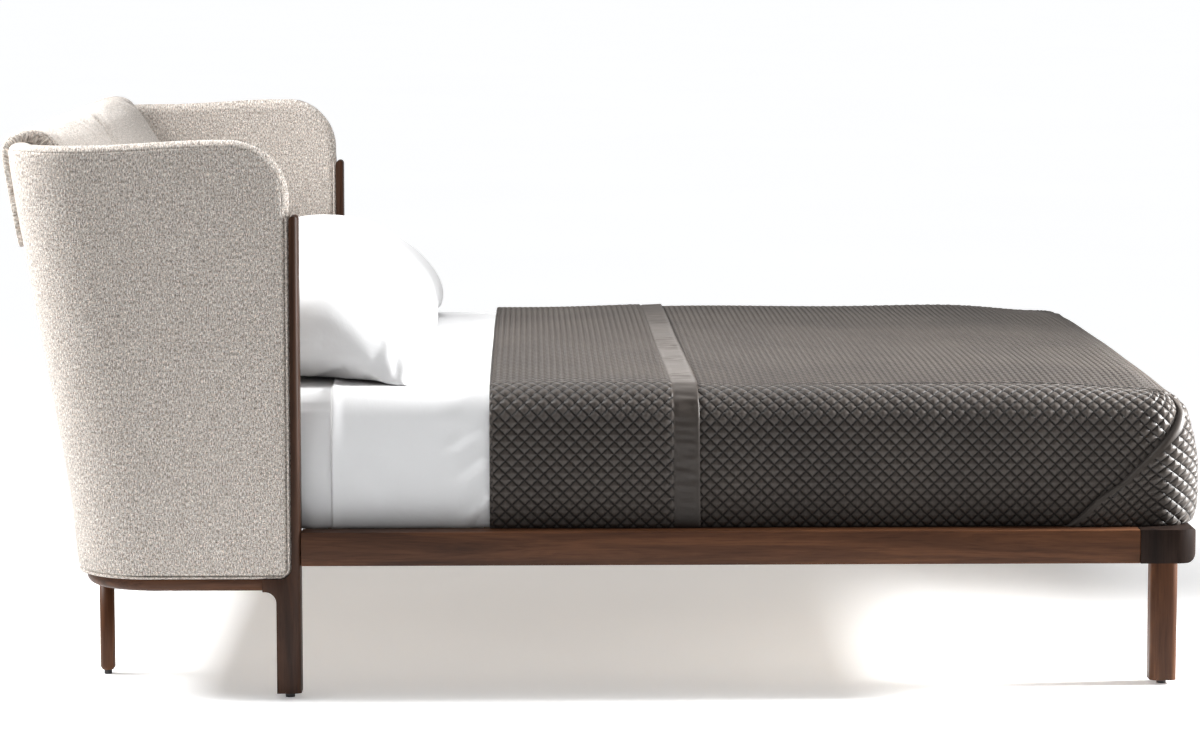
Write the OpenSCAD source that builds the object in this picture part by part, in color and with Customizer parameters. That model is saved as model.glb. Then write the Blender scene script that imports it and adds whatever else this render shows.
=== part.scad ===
// Wingback platform bed: a low walnut frame, a raked upholstered headboard with two wings,
// two drape-over headboard cushions, a mattress with its bedding and two pillows.
// The head is towards -X, the foot towards +X, and the floor is Z = 0.
// "left" is the -Y side, as seen by someone at the foot who looks at the headboard.

/* [Mattress] */
// Width of the mattress
mattress_w = 1800; // [1600:10:1900]
// Length of the mattress
mattress_l = 2000; // [1950:10:2050]
// Height of the mattress
mattress_h = 263; // [200:1:280]
// Height of the underside of the mattress above the floor
mattress_z = 332; // [332:1:340]

/* [Headboard] */
// Lean of the headboard back, in degrees
rake = 9.85; // [8:0.05:11]
// Height of the top of the wings
wing_top = 1087; // [1070:1:1100]
// Height of the top of the wooden posts
post_top = 942; // [850:1:950]
// Thickness of a post across the bed
post_t = 60; // [60:1:64]
// Corner radius of the wrap-around back, in plan
shell_r = 150; // [120:1:150]
// Radius of the top front corner of a wing
wing_corner_r = 115; // [80:1:130]

/* [Frame] */
// Height of the underside of the side rails
rail_z = 261; // [255:1:265]
// Height of a side rail
rail_h = 66; // [60:1:66]
// Thickness of a side rail
rail_t = 56; // [40:1:56]
// Side of a square foot leg
foot_leg_w = 54; // [45:1:60]
// Diameter of a rear leg
rear_leg_d = 30; // [26:1:34]
// Number of slats
slat_count = 13; // [10:1:14]

/* [Soft goods] */
// Thickness of a bed sheet
sheet_t = 1.5; // [1:0.5:2]
// Thickness of the quilted coverlet
coverlet_t = 4; // [3:0.5:5]
// Length of a pillow up the bed
pillow_l = 500; // [450:10:500]
// Width of a pillow across the bed
pillow_w = 720; // [600:10:750]
// Thickness of a plump pillow
pillow_h = 205; // [150:5:210]

/* [Hidden] */
$fn = 64;

// X is measured from the front face of the posts, then every piece is moved by -x_mid
x_front = 1748;

clear_y = 5;
half_in = mattress_w / 2 + clear_y;
half_w = half_in + post_t;

glide_h = 9;
glide_d = 19;
post_foot_z = 11;
leg_w = 48;
strip_w = 18;
edge_r = 12;
base_z = 211;
base_h = 25;
base_top = base_z + base_h;
base_edge_r = 18;
base_rear = -430;
fillet_r = 22;
stub_l = 27;
rear_leg_x = -406;
rear_leg_y = half_w - 280;

// the upholstered shell: outer and inner faces of a wing, and thickness of the back
shell_out = half_w - 5;
shell_in = half_in + 3.5;
back_t = 60;
inner_r = 95;
back_x = -433.5;
back_half = shell_out - shell_r;
back_len = 846.5;
core_t = 18;
welt_r = 2.5;
welt_gap = 0.1;
welt_x = -22.5;
welt_z = base_top + welt_r + 0.2;
welt_bend = 20;
pad_low_r = 24;

rail_out = half_w - 4;
rail_top = rail_z + rail_h;
block_l = 113;
block_x = x_front - block_l;
foot_rail_t = 80;
foot_out = x_front - 4;
foot_leg_x = 1700;
foot_leg_y = half_w - 138;
leg_edge_r = 14;

slat_t = 20;
slat_w = 90;
slat_z = mattress_z - slat_t;
foot_low_r = 22;
foot_top_r = 10;
ledge_h = 40;
ledge_t = 30;
beam_h = 50;
beam_w = 60;
cross_x = -300;
cross_t = 44;
slat_x0 = cross_x + cross_t + 2;
slat_x1 = foot_out - foot_rail_t - 2;

mattress_x = -266;
mattress_r = 50;
top_sheet_x = 56;
coverlet_x = 372;
fold_x = 775;

cushion_half = 806;
cushion_gap = 1.5;
flap_s = 648;
flap_t = 12;
crest_s = 845;
x_rear = back_x - flap_t * cos(rake) - crest_s * sin(rake);
x_mid = (x_rear + x_front) / 2;

pillow_tilt = 8;
pillow_x = -15;
pillow_y = 430;
pillow_edge = pillow_h / 2 - 5;

walnut = [0.37, 0.25, 0.19];
dark_walnut = [0.22, 0.17, 0.16];
pine = [0.72, 0.57, 0.40];
ply = [0.78, 0.66, 0.50];
oatmeal = [0.74, 0.71, 0.67];
linen_white = [0.95, 0.95, 0.96];
taupe = [0.40, 0.37, 0.35];
black = [0.05, 0.05, 0.05];

// ---- helpers ----

// A rectangle with rounded corners, from its low corner to its high corner
module rounded(x0, y0, x1, y1, r) {
    translate([x0 + r, y0]) square([x1 - x0 - 2 * r, y1 - y0]);
    translate([x0, y0 + r]) square([x1 - x0, y1 - y0 - 2 * r]);
    for (x = [x0 + r, x1 - r], y = [y0 + r, y1 - r]) translate([x, y]) circle(r);
}

// A shape drawn in side view (X right, Z up), given its width across the bed
module across(y0, y1) {
    translate([0, y1, 0]) rotate([90, 0, 0]) linear_extrude(y1 - y0) children();
}

// The frame of the leaning back: X forward off its rear face, Z up along the lean
module raked() {
    translate([back_x, 0, base_top]) rotate([0, -rake, 0]) children();
}

// Puts a piece in the bed's frame; side -1 is left and side 1 is right (pieces are drawn on +Y)
module placed(side = 1) {
    translate([-x_mid, 0, 0]) scale_side(side) children();
}

// Keeps a piece drawn on +Y for side 1, and mirrors it to -Y for side -1
module scale_side(side) {
    if (side > 0) children();
    else mirror([0, 1, 0]) children();
}

// ---- wooden frame ----

module post_profile() {
    translate([-leg_w, post_foot_z]) square([leg_w, base_z - post_foot_z + 1]);
    translate([-strip_w, base_z]) square([strip_w, post_top - strip_w / 2 - base_z]);
    translate([-strip_w / 2, post_top - strip_w / 2]) circle(strip_w / 2);
    translate([-leg_w - stub_l, base_z]) square([leg_w + stub_l, base_h]);
    difference() {
        translate([-leg_w - fillet_r, base_z - fillet_r]) square([fillet_r, fillet_r]);
        translate([-leg_w - fillet_r, base_z - fillet_r]) circle(fillet_r);
    }
    difference() {
        translate([-strip_w - pad_low_r, base_top]) square([pad_low_r, pad_low_r]);
        translate([-strip_w - pad_low_r, base_top + pad_low_r]) circle(pad_low_r + welt_gap);
    }
}

module headboard_post(side) {
    color(walnut) placed(side) intersection() {
        across(half_in, half_w) post_profile();
        linear_extrude(wing_top) rounded(-200, half_in, 0, half_w, edge_r);
    }
}

// Section of the base rail: 0 is its inner face, and its lower outer edge is round
module base_section(t) {
    translate([0, base_z]) intersection() {
        union() {
            translate([0, base_edge_r]) square([t, base_h - base_edge_r]);
            square([t - base_edge_r, base_h]);
            translate([t - base_edge_r, base_edge_r]) circle(base_edge_r);
        }
        square([t, base_h]);
    }
}

module wing_base_rail(side) {
    base_t = shell_out - half_in;
    corner_x = base_rear + shell_r;
    color(walnut) placed(side) {
        translate([corner_x, half_in, 0]) rotate([90, 0, 90])
            linear_extrude(-leg_w - stub_l - corner_x) base_section(base_t);
        translate([corner_x, back_half, 0]) rotate([0, 0, 90]) rotate_extrude(angle = 90)
            translate([shell_r - base_t, 0]) base_section(base_t);
    }
}

module headboard_base_rail() {
    base_t = shell_out - half_in;
    color(walnut) placed() translate([base_rear + base_t, -back_half, 0]) mirror([1, 0, 0])
        rotate([90, 0, 0]) mirror([0, 0, 1]) linear_extrude(2 * back_half) base_section(base_t);
}

module rear_leg(side) {
    tip = 6;
    color(walnut) placed(side) translate([rear_leg_x, rear_leg_y, glide_h]) {
        cylinder(h = tip, d1 = rear_leg_d - 8, d2 = rear_leg_d);
        translate([0, 0, tip]) cylinder(h = base_z - glide_h - tip, d = rear_leg_d);
    }
}

module side_rail(side) {
    color(walnut) placed(side) translate([0, rail_out - rail_t, rail_z])
        cube([block_x, rail_t, rail_h]);
}

// Side view of the foot end, whose outer face at x is rounded over: a little on top and more below
module foot_face(x) {
    intersection() {
        rounded(x - 300, rail_z, x, rail_z + 300, foot_low_r);
        rounded(x - 300, rail_top - 300, x, rail_top, foot_top_r);
    }
}

module foot_rail() {
    half = rail_out - block_l;
    color(walnut) placed() intersection() {
        across(-half, half) foot_face(foot_out);
        translate([foot_out - foot_rail_t, -half, rail_z]) cube([foot_rail_t, 2 * half, rail_h]);
    }
}

module foot_corner(side) {
    out_y = rail_out + 1;
    color(dark_walnut) placed(side) intersection() {
        across(rail_out - 2 * block_l, rail_out + block_l) foot_face(x_front);
        translate([0, 0, rail_z]) linear_extrude(rail_h) difference() {
            intersection() {
                rounded(block_x - 200, out_y - 400, x_front, out_y, 42);
                translate([block_x, rail_out - block_l]) square([block_l + 1, block_l + 2]);
            }
            translate([block_x - 1, rail_out - block_l - 1])
                square([foot_out - foot_rail_t - block_x + 1, block_l - rail_t + 1]);
        }
    }
}

module foot_leg(side) {
    half = foot_leg_w / 2;
    color(walnut) placed(side) translate([foot_leg_x, foot_leg_y, glide_h])
        linear_extrude(rail_z - glide_h) rounded(-half, -half, half, half, leg_edge_r);
}

module glide(side, x, y, h, d) {
    color(black) placed(side) translate([x, y, 0]) cylinder(h = h, d = d);
}

module post_glide(side) {
    glide(side, -leg_w / 2, (half_in + half_w) / 2, post_foot_z, glide_d);
}

module rear_glide(side) {
    glide(side, rear_leg_x, rear_leg_y, glide_h, 16);
}

module foot_glide(side) {
    glide(side, foot_leg_x, foot_leg_y, glide_h, glide_d);
}

// ---- mattress support ----

module head_cross_rail() {
    color(pine) placed() translate([cross_x, -half_in, slat_z - beam_h])
        cube([cross_t, 2 * half_in, beam_h]);
}

module centre_beam() {
    x0 = cross_x + cross_t;
    color(pine) placed() translate([x0, -beam_w / 2, slat_z - beam_h])
        cube([foot_out - foot_rail_t - x0, beam_w, beam_h]);
}

module slat_ledge(side) {
    x0 = cross_x + cross_t;
    color(pine) placed(side) translate([x0, rail_out - rail_t - ledge_t, slat_z - ledge_h])
        cube([foot_out - foot_rail_t - x0, ledge_t, ledge_h]);
}

module slats() {
    pitch = (slat_x1 - slat_x0 - slat_w) / (slat_count - 1);
    half = rail_out - rail_t - 4;
    color(pine) placed() for (i = [0 : slat_count - 1])
        translate([slat_x0 + i * pitch, -half, slat_z]) cube([slat_w, 2 * half, slat_t]);
}

// ---- upholstered headboard ----

// Side view of a wing: upright front edge, level top, and two round front corners
module wing_outline(front, top, bottom, r) {
    translate([-900, bottom + pad_low_r]) square([900 + front, top - r - bottom - pad_low_r]);
    translate([-900, bottom]) square([900 + front - r, top - bottom]);
    translate([-900, bottom]) square([900 + front - pad_low_r, 2 * pad_low_r]);
    translate([front - r, top - r]) circle(r);
    translate([front - pad_low_r, bottom + pad_low_r]) circle(pad_low_r);
}

module wing_core(side) {
    inset = 18;
    mid = (shell_in + shell_out) / 2;
    color(ply) placed(side) intersection() {
        across(mid - core_t / 2, mid + core_t / 2)
            wing_outline(-strip_w - inset, wing_top - inset, base_top, wing_corner_r - inset);
        raked() translate([shell_r, 0, -200]) cube([900, 1200, 1400]);
    }
}

module wing_upholstery(side) {
    color(oatmeal) difference() {
        placed(side) intersection() {
            across(back_half, shell_out)
                wing_outline(-strip_w, wing_top, base_top, wing_corner_r);
            raked() translate([0, 0, -200]) linear_extrude(1400) difference() {
                rounded(0, -shell_out, 1600, shell_out, shell_r);
                rounded(back_t, -shell_in, 1700, shell_in, inner_r);
            }
        }
        wing_core(side);
    }
}

module headboard_core() {
    color(ply) placed() raked()
        translate([(back_t - core_t) / 2, -back_half, 20]) cube([core_t, 2 * back_half, back_len - 40]);
}

module headboard_upholstery() {
    color(oatmeal) difference() {
        placed() intersection() {
            raked() translate([0, -back_half, -200]) cube([back_t, 2 * back_half, 200 + back_len]);
            translate([-900, -back_half, base_top]) cube([900, 2 * back_half, wing_top]);
        }
        headboard_core();
    }
}

// A quarter of a round welt, bent in the plane it is drawn in
module welt_corner(r) {
    rotate_extrude(angle = 90) translate([r, 0]) circle(welt_r);
}

module outer_piping(side) {
    y = shell_out + welt_r + welt_gap;
    turn_x = welt_x - welt_bend;
    turn_z = welt_z + welt_bend;
    plan_r = y - back_half;
    plan_x = back_x + plan_r - welt_r - 1.5;
    color(oatmeal) placed(side) {
        translate([welt_x, y, turn_z]) cylinder(h = post_top - turn_z, r = welt_r);
        translate([turn_x, y, turn_z]) rotate([90, 0, 0]) rotate([0, 0, 270]) welt_corner(welt_bend);
        translate([plan_x, y, welt_z]) rotate([0, 90, 0]) cylinder(h = turn_x - plan_x, r = welt_r);
        translate([plan_x, back_half, welt_z]) rotate([0, 0, 90]) welt_corner(plan_r);
    }
}

module inner_piping(side) {
    color(oatmeal) placed(side)
        translate([welt_x, shell_in - welt_r - welt_gap, rail_top])
            cylinder(h = post_top - rail_top, r = welt_r);
}

// ---- drape-over headboard cushions ----

// Section of a cushion in the frame of the leaning back: seat side, crest, then rear flap
cushion_pad = [[back_t + cushion_gap, 366], [165, 348], [176, 386], [172, 600], [150, 690],
    [122, 745], [98, 795], [88, 830], [78, 852], [64, 866], [30, 868], [0, 865],
    [-8, 858], [-flap_t, crest_s]];
cushion_rear = [[-flap_t, flap_s], [-cushion_gap, flap_s], [-cushion_gap, back_len + cushion_gap],
    [back_t + cushion_gap, back_len + cushion_gap]];

module back_cushion(side) {
    color(oatmeal) placed(side) raked() across(cushion_gap, cushion_half)
        polygon(concat(cushion_pad, cushion_rear));
}

// ---- mattress, bedding and pillows ----

// The mattress grown by g at its sides and top, kept from x0 to its foot
module mattress_block(g, x0) {
    linear_extrude(mattress_h + g) intersection() {
        rounded(mattress_x - g, -mattress_w / 2 - g,
            mattress_x + mattress_l + g, mattress_w / 2 + g, mattress_r);
        translate([x0, -mattress_w]) square([2 * mattress_l, 2 * mattress_w]);
    }
}

// A cover between two growths of the mattress, from x0 to the foot
module mattress_cover(inner, outer, x0) {
    placed() translate([0, 0, mattress_z]) difference() {
        mattress_block(outer, x0);
        translate([0, 0, -1]) mattress_block_low(inner);
    }
}

// The straight-sided block that a cover of the mattress is hollowed out with
module mattress_block_low(g) {
    linear_extrude(mattress_h + g + 1)
        rounded(mattress_x - g, -mattress_w / 2 - g,
            mattress_x + mattress_l + g, mattress_w / 2 + g, mattress_r);
}

module mattress() {
    color(linen_white) placed() translate([0, 0, mattress_z]) mattress_block(0, -2000);
}

module fitted_sheet() {
    color(linen_white) mattress_cover(0, sheet_t, -2000);
}

module top_sheet() {
    color(linen_white) mattress_cover(sheet_t, 2 * sheet_t, top_sheet_x);
}

module coverlet() {
    inner = 2 * sheet_t;
    color(taupe) {
        mattress_cover(inner, inner + coverlet_t, coverlet_x);
        intersection() {
            mattress_cover(inner + coverlet_t, inner + 2 * coverlet_t, coverlet_x);
            placed() translate([coverlet_x, -mattress_w, 0]) cube([fold_x - coverlet_x, 2 * mattress_w, 900]);
        }
    }
}

module pillow(side) {
    lift = (pillow_l / 2 - pillow_edge) * sin(pillow_tilt)
        + (pillow_h / 2 - pillow_edge) * cos(pillow_tilt) + pillow_edge;
    z = mattress_z + mattress_h + 2 * sheet_t + lift + 0.3;
    color(linen_white) placed(side) across(pillow_y - pillow_w / 2, pillow_y + pillow_w / 2)
        translate([pillow_x, z]) rotate(-pillow_tilt)
            rounded(-pillow_l / 2, -pillow_h / 2, pillow_l / 2, pillow_h / 2, pillow_edge);
}

headboard_post(-1);  // headboard_post_left
headboard_post(1);  // headboard_post_right
wing_base_rail(-1);  // wing_base_rail_left
wing_base_rail(1);  // wing_base_rail_right
headboard_base_rail();
rear_leg(-1);  // rear_leg_left
rear_leg(1);  // rear_leg_right
side_rail(-1);  // side_rail_left
side_rail(1);  // side_rail_right
foot_rail();
foot_corner(-1);  // foot_corner_left
foot_corner(1);  // foot_corner_right
foot_leg(-1);  // foot_leg_left
foot_leg(1);  // foot_leg_right
post_glide(-1);  // post_glide_left
post_glide(1);  // post_glide_right
rear_glide(-1);  // rear_glide_left
rear_glide(1);  // rear_glide_right
foot_glide(-1);  // foot_glide_left
foot_glide(1);  // foot_glide_right
head_cross_rail();
centre_beam();
slat_ledge(-1);  // slat_ledge_left
slat_ledge(1);  // slat_ledge_right
slats();
wing_core(-1);  // wing_core_left
wing_core(1);  // wing_core_right
headboard_core();
wing_upholstery(-1);  // wing_upholstery_left
wing_upholstery(1);  // wing_upholstery_right
headboard_upholstery();
outer_piping(-1);  // outer_piping_left
outer_piping(1);  // outer_piping_right
inner_piping(-1);  // inner_piping_left
inner_piping(1);  // inner_piping_right
back_cushion(-1);  // back_cushion_left
back_cushion(1);  // back_cushion_right
mattress();
fitted_sheet();
top_sheet();
coverlet();
pillow(-1);  // pillow_left
pillow(1);  // pillow_right
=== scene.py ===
import math

import bmesh
import bpy
import numpy as np
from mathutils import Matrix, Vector


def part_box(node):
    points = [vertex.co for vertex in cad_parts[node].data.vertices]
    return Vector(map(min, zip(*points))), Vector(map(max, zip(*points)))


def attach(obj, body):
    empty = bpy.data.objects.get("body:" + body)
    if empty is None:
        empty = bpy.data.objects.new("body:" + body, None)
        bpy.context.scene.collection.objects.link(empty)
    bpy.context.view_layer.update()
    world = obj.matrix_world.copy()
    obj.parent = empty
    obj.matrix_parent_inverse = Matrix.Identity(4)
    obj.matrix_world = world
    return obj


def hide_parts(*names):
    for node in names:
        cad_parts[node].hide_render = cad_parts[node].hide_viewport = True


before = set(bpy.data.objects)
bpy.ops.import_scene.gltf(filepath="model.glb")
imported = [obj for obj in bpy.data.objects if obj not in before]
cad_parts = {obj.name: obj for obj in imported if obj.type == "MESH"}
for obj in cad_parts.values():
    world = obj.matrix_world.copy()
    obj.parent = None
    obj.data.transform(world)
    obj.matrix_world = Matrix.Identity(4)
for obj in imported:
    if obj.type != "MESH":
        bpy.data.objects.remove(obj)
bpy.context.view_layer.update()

SIDES = (("left", -1.0), ("right", 1.0))

# Everything below is drawn in millimetres. X is 0 at the front face of the headboard posts and grows
# towards the foot, Y is 0 on the centre line, and Z is 0 on the floor.
FRONT_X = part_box("headboard_post_left")[1][0]
HALF_W = 1000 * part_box("headboard_post_right")[1][1]
POST_TOP = 1000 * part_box("headboard_post_left")[1][2]
BASE_TOP = 1000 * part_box("wing_base_rail_left")[1][2]
MATTRESS_Z = 1000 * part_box("mattress")[0][2]
MATTRESS_HALF = 1000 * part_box("mattress")[1][1]


def metres(points):
    """Millimetres in the drawing frame to metres in the row frame."""
    out = np.array(points, dtype=float) / 1000
    out[..., 0] += FRONT_X
    return out


# ---------------------------------------------------------------- camera

CAMERA_AT = (446.39, -8515.02, 1482.15)
CAMERA_TILT = (90 - 6.3057, 0.0376, -1.0273)
CAMERA_LENS = 117.952


def make_camera():
    data = bpy.data.cameras.new("camera")
    data.sensor_fit = "HORIZONTAL"
    data.sensor_width = 36
    data.lens = CAMERA_LENS
    data.clip_end = 100
    camera = bpy.data.objects.new("camera", data)
    camera.location = metres(CAMERA_AT)
    camera.rotation_euler = [math.radians(a) for a in CAMERA_TILT]
    bpy.context.collection.objects.link(camera)
    bpy.context.scene.camera = camera


# ---------------------------------------------------------------- materials

class Nodes:
    """A material and short ways to add nodes to it."""

    def __init__(self, name, **shader):
        self.material = bpy.data.materials.new(name)
        self.material.use_nodes = True
        self.tree = self.material.node_tree
        self.shader = self.tree.nodes["Principled BSDF"]
        for key, value in shader.items():
            self.shader.inputs[key.replace("_", " ")].default_value = value

    def add(self, kind, inputs=(), **properties):
        node = self.tree.nodes.new(kind)
        for key, value in properties.items():
            setattr(node, key, value)
        for key, value in dict(inputs).items():
            if isinstance(value, bpy.types.NodeSocket):
                self.tree.links.new(value, node.inputs[key])
            else:
                node.inputs[key].default_value = value
        return node

    def to_shader(self, key, socket):
        self.tree.links.new(socket, self.shader.inputs[key])

    def coords(self, scale, kind="Object", turn=(0, 0, 0)):
        source = self.add("ShaderNodeTexCoord").outputs[kind]
        return self.add("ShaderNodeMapping", {"Vector": source, "Scale": scale, "Rotation": turn}).outputs[0]

    def noise(self, vector, scale=1.0, detail=2.0, roughness=0.5, distortion=0.0):
        inputs = {"Vector": vector, "Scale": scale, "Detail": detail, "Roughness": roughness,
                  "Distortion": distortion}
        return self.add("ShaderNodeTexNoise", inputs).outputs["Fac"]

    def ramp(self, factor, stops):
        node = self.add("ShaderNodeValToRGB", {"Fac": factor})
        elements = node.color_ramp.elements
        while len(elements) < len(stops):
            elements.new(0.5)
        for element, (position, colour) in zip(elements, stops):
            element.position = position
            element.color = (*colour, 1)
        return node.outputs["Color"]

    def mix(self, factor, a, b, blend="MIX"):
        a, b = ((*value, 1) if isinstance(value, tuple) else value for value in (a, b))
        node = self.add("ShaderNodeMix", {0: factor, 6: a, 7: b}, data_type="RGBA", blend_type=blend)
        return node.outputs[2]

    def times(self, base, tint, share=1.0):
        """The base colour multiplied by a tint."""
        return self.mix(share, base, tint, "MULTIPLY")

    def math(self, operation, a, b=0.0, c=0.0):
        return self.add("ShaderNodeMath", {0: a, 1: b, 2: c}, operation=operation).outputs[0]

    def bump(self, height, strength, distance, normal=None):
        inputs = {"Height": height, "Strength": strength, "Distance": distance}
        if normal is not None:
            inputs["Normal"] = normal
        return self.add("ShaderNodeBump", inputs).outputs[0]


def grey(value):
    return (value, value, value)


def walnut(name, along, light, dark, roughness=0.45, specular=0.2):
    """Oiled walnut whose grain runs along axis 0, 1 or 2."""
    mat = Nodes(name, Specular_IOR_Level=specular)
    stretch = [[22.0, 22.0, 22.0], [330.0, 330.0, 330.0], [5.0, 5.0, 5.0]]
    for scales, value in zip(stretch, (1.5, 14.0, 0.9)):
        scales[along] = value
    bands, pores, tone = (mat.coords(scales) for scales in stretch)
    figure = mat.noise(bands, detail=5, roughness=0.62, distortion=1.4)
    middle = tuple(0.45 * a + 0.55 * b for a, b in zip(light, dark))
    base = mat.ramp(figure, [(0.30, dark), (0.47, middle), (0.60, light), (0.78, middle)])
    shade = mat.ramp(mat.noise(tone, detail=1), [(0.3, (0.72, 0.70, 0.69)), (0.7, (1.12, 1.08, 1.05))])
    fine = mat.noise(pores, detail=3, roughness=0.7)
    streaks = mat.ramp(fine, [(0.36, (0.55, 0.52, 0.50)), (0.52, grey(1.0))])
    mat.to_shader("Base Color", mat.times(mat.times(base, shade), streaks, 0.55))
    mat.to_shader("Roughness", mat.math("MULTIPLY_ADD", fine, -0.18, roughness + 0.10))
    mat.to_shader("Normal", mat.bump(fine, 0.25, 0.0004))
    return mat.material


def pale_wood(name, light, dark):
    """Unfinished slat wood or plywood."""
    mat = Nodes(name, Roughness=0.7)
    grain = mat.noise(mat.coords((60, 4, 60)), detail=4, roughness=0.6, distortion=0.8)
    mat.to_shader("Base Color", mat.ramp(grain, [(0.3, dark), (0.7, light)]))
    mat.to_shader("Normal", mat.bump(grain, 0.2, 0.0004))
    return mat.material


def oatmeal_weave(name):
    """Melange wool: pale ground with darker and warm flecks drawn out along the upright yarn."""
    mat = Nodes(name, Roughness=0.92, Sheen_Weight=0.2, Sheen_Roughness=0.45, Specular_IOR_Level=0.12)
    streak = mat.noise(mat.coords((430, 150, 1), "UV"), detail=2, roughness=0.6)
    fleck = mat.noise(mat.coords((520, 430, 1), "UV"), detail=1.5, roughness=0.55)
    slub = mat.noise(mat.coords((230, 30, 1), "UV"), detail=1.5)
    cloud = mat.noise(mat.coords((60, 12, 1), "UV"), detail=2)
    warm = mat.noise(mat.coords((330, 190, 1), "UV"), detail=1)
    base = mat.ramp(streak, [(0.34, (0.26, 0.235, 0.21)), (0.46, (0.47, 0.435, 0.395)),
                             (0.55, (0.62, 0.585, 0.54)), (0.66, (0.76, 0.73, 0.69))])
    tints = (
        (fleck, 0.95, [(0.34, (0.44, 0.42, 0.40)), (0.47, grey(0.96)), (0.64, (1.34, 1.34, 1.33))]),
        (slub, 1.0, [(0.30, (0.84, 0.83, 0.82)), (0.48, grey(1.0)), (0.70, (1.10, 1.10, 1.09))]),
        (cloud, 1.0, [(0.3, (0.97, 0.96, 0.95)), (0.7, grey(1.03))]),
        (warm, 1.0, [(0.40, (0.98, 0.99, 1.01)), (0.74, (1.08, 0.97, 0.92))]),
    )
    for noise, share, stops in tints:
        base = mat.times(base, mat.ramp(noise, stops), share)
    mat.to_shader("Base Color", base)
    height = mat.math("ADD", streak, fleck)
    mat.to_shader("Normal", mat.bump(height, 0.6, 0.0012))
    return mat.material


def cotton(name, colour, wrinkle=0.35):
    """Percale: smooth white cotton with a fine weave and slack little creases."""
    mat = Nodes(name, Roughness=0.8, Sheen_Weight=0.15, Sheen_Roughness=0.4, Specular_IOR_Level=0.25)
    creases = mat.noise(mat.coords(grey(9)), detail=5, roughness=0.55, distortion=0.6)
    weave = mat.noise(mat.coords(grey(900)), detail=1)
    mottle = mat.noise(mat.coords(grey(14)), detail=2)
    tints = [(0.3, tuple(0.985 * c for c in colour)), (0.7, colour)]
    mat.to_shader("Base Color", mat.ramp(mottle, tints))
    soft = mat.bump(creases, wrinkle, 0.006)
    mat.to_shader("Normal", mat.bump(weave, 0.2, 0.0003, soft))
    return mat.material


def quilted(name, light, dark, stitched=True):
    """Sateen coverlet: slightly lustrous taupe cloth, with stitch lines where it is quilted and painted shade
    darkening them.
    """
    mat = Nodes(name, Roughness=0.50, Sheen_Weight=0.13, Sheen_Roughness=0.38, Specular_IOR_Level=0.35)
    mat.shader.inputs["Sheen Tint"].default_value = (0.95, 0.9, 0.86, 1)
    yarn = mat.noise(mat.coords(grey(900)), detail=2)
    tone = mat.noise(mat.coords(grey(5)), detail=3)
    base = mat.ramp(tone, [(0.35, dark), (0.65, light)])
    base = mat.times(base, mat.ramp(yarn, [(0.35, grey(0.75)), (0.65, grey(1.15))]), 0.5)
    normal = mat.bump(yarn, 0.25, 0.0004)
    if stitched:
        source = mat.add("ShaderNodeTexCoord").outputs["UV"]
        along, across = mat.add("ShaderNodeSeparateXYZ", {"Vector": source}).outputs[:2]
        lines = []
        for sign in (1.0, -1.0):
            diagonal = mat.math("ADD", along, mat.math("MULTIPLY", across, sign))
            wave = mat.math("SINE", mat.math("MULTIPLY", diagonal, math.pi * 1000 / QUILT))
            lines.append(mat.math("ABSOLUTE", wave))
        nearest = mat.math("MINIMUM", *lines)
        # painted shade: the base colour is darkened along the stitch lines, where the quilting's grooves lie
        # in shade, and lightened a little on the puffs between them
        groove_shade = mat.ramp(nearest, [(0.0, grey(0.10)), (0.16, grey(0.50)), (0.50, grey(1.15))])
        base = mat.times(base, groove_shade)
        normal = mat.bump(mat.math("POWER", nearest, 0.5), 1.0, 0.0036, normal)
    mat.to_shader("Base Color", base)
    mat.to_shader("Normal", normal)
    return mat.material


def black_plastic(name):
    mat = Nodes(name, Roughness=0.45)
    grain = mat.noise(mat.coords(grey(900)), detail=2)
    mat.to_shader("Base Color", mat.ramp(grain, [(0.3, grey(0.012)), (0.7, (0.022, 0.022, 0.023))]))
    mat.to_shader("Normal", mat.bump(grain, 0.3, 0.0003))
    return mat.material


QUILT = 25.0
WALNUT_LIGHT = (0.112, 0.046, 0.020)
WALNUT_DARK = (0.042, 0.016, 0.007)
POST_LIGHT = (0.068, 0.028, 0.013)
POST_DARK = (0.027, 0.011, 0.005)
ENDGRAIN_LIGHT = (0.027, 0.0172, 0.0135)
ENDGRAIN_DARK = (0.012, 0.0084, 0.0074)
TAUPE_LIGHT = (0.053, 0.043, 0.036)
TAUPE_DARK = (0.041, 0.033, 0.028)


def make_materials():
    return {
        "walnut_x": walnut("walnut_x", 0, WALNUT_LIGHT, WALNUT_DARK),
        "walnut_y": walnut("walnut_y", 1, WALNUT_LIGHT, WALNUT_DARK),
        "walnut_z": walnut("walnut_z", 2, WALNUT_LIGHT, WALNUT_DARK),
        "post": walnut("walnut_post", 2, POST_LIGHT, POST_DARK),
        "endgrain": walnut("endgrain", 2, ENDGRAIN_LIGHT, ENDGRAIN_DARK, 0.55, 0.06),
        "pine": pale_wood("pine", (0.42, 0.33, 0.24), (0.30, 0.23, 0.165)),
        "plywood": pale_wood("plywood", (0.55, 0.42, 0.28), (0.42, 0.30, 0.18)),
        "oatmeal": oatmeal_weave("oatmeal_weave"),
        "ticking": cotton("mattress_ticking", (0.80, 0.80, 0.79)),
        "cotton": cotton("white_cotton", (0.785, 0.787, 0.793)),
        "quilt": quilted("taupe_quilt", TAUPE_LIGHT, TAUPE_DARK),
        "hem": quilted("taupe_hem", TAUPE_LIGHT, TAUPE_DARK, stitched=False),
        "plastic": black_plastic("black_plastic"),
    }


# ---------------------------------------------------------------- mesh building

def between(first, second, column=None):
    """A two-line grid that joins two others: their column of that number, or their last row."""
    if column is None:
        return np.stack([first[-1], second[-1]])
    return np.stack([first[:, column], second[:, column]], axis=1)


def stack(*parts):
    """Arrays of single coordinates as one array of points."""
    return np.stack(np.broadcast_arrays(*parts), axis=-1)


def crossed(rows, columns):
    """The two values at each point of a grid, from its rows' and its columns' own."""
    return np.meshgrid(rows, columns, indexing="ij")


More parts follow.
